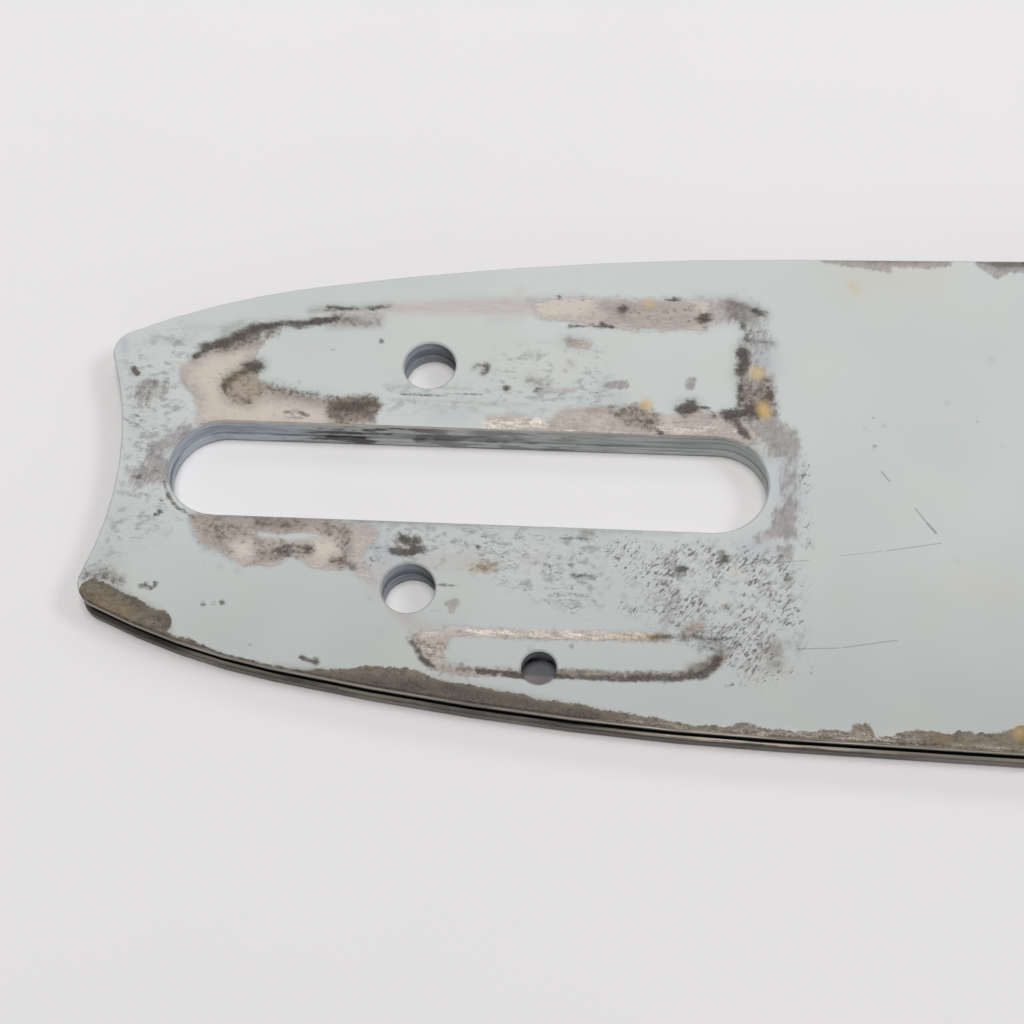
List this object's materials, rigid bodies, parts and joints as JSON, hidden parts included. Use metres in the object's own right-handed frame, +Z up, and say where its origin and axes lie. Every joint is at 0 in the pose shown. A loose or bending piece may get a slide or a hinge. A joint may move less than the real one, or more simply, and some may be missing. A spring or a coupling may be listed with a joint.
{
  "type": "chainsaw guide bar",
  "caption": "Laminated sprocket-nose guide bar: two painted side plates on a set-back core leave a chain groove; slot, tensioner and oil holes at the tail.",
  "frame": {"origin": "centre of the clamp slot, on the underside that the bar lies on", "axes": "+X along the bar towards the nose, +Y across it, +Z up through the plates"},
  "size_m": [0.4732, 0.0654, 0.0047],
  "materials": {
    "painted_plate": "worn pale grey-green paint",
    "core_steel": "oily steel",
    "sprocket_steel": "ground steel",
    "bearing_steel": "polished steel",
    "rivet_steel": "pressed steel"
  },
  "bodies": {
    "bar": {"upper_side_plate": "painted_plate", "core_plate": "core_steel", "lower_side_plate": "painted_plate", "bearing_race": "bearing_steel", "nose_rivet_1": "rivet_steel", "nose_rivet_2": "rivet_steel", "nose_rivet_3": "rivet_steel", "nose_rivet_4": "rivet_steel"},
    "sprocket": {"nose_sprocket": "sprocket_steel"},
    "roller_set": {"bearing_roller_01": "bearing_steel", "bearing_roller_02": "bearing_steel", "bearing_roller_03": "bearing_steel", "bearing_roller_04": "bearing_steel", "bearing_roller_05": "bearing_steel", "bearing_roller_06": "bearing_steel", "bearing_roller_07": "bearing_steel", "bearing_roller_08": "bearing_steel", "bearing_roller_09": "bearing_steel", "bearing_roller_10": "bearing_steel", "bearing_roller_11": "bearing_steel", "bearing_roller_12": "bearing_steel", "bearing_roller_13": "bearing_steel", "bearing_roller_14": "bearing_steel", "bearing_roller_15": "bearing_steel", "bearing_roller_16": "bearing_steel", "bearing_roller_17": "bearing_steel", "bearing_roller_18": "bearing_steel", "bearing_roller_19": "bearing_steel", "bearing_roller_20": "bearing_steel", "bearing_roller_21": "bearing_steel", "bearing_roller_22": "bearing_steel"}
  },
  "joints": [
    {"name": "sprocket_spin", "type": "hinge", "parent": "bar", "child": "sprocket", "pos_m": [0.40024, 0, 0.00235], "axis": [0, 0, 1], "continuous": true},
    {"name": "roller_orbit", "type": "hinge", "parent": "bar", "child": "roller_set", "pos_m": [0.40024, 0, 0.00235], "axis": [0, 0, 1], "continuous": true}
  ],
  "couplings": [
    {"joint": "roller_orbit", "follows": "sprocket_spin", "ratio": 0.56943}
  ]
}
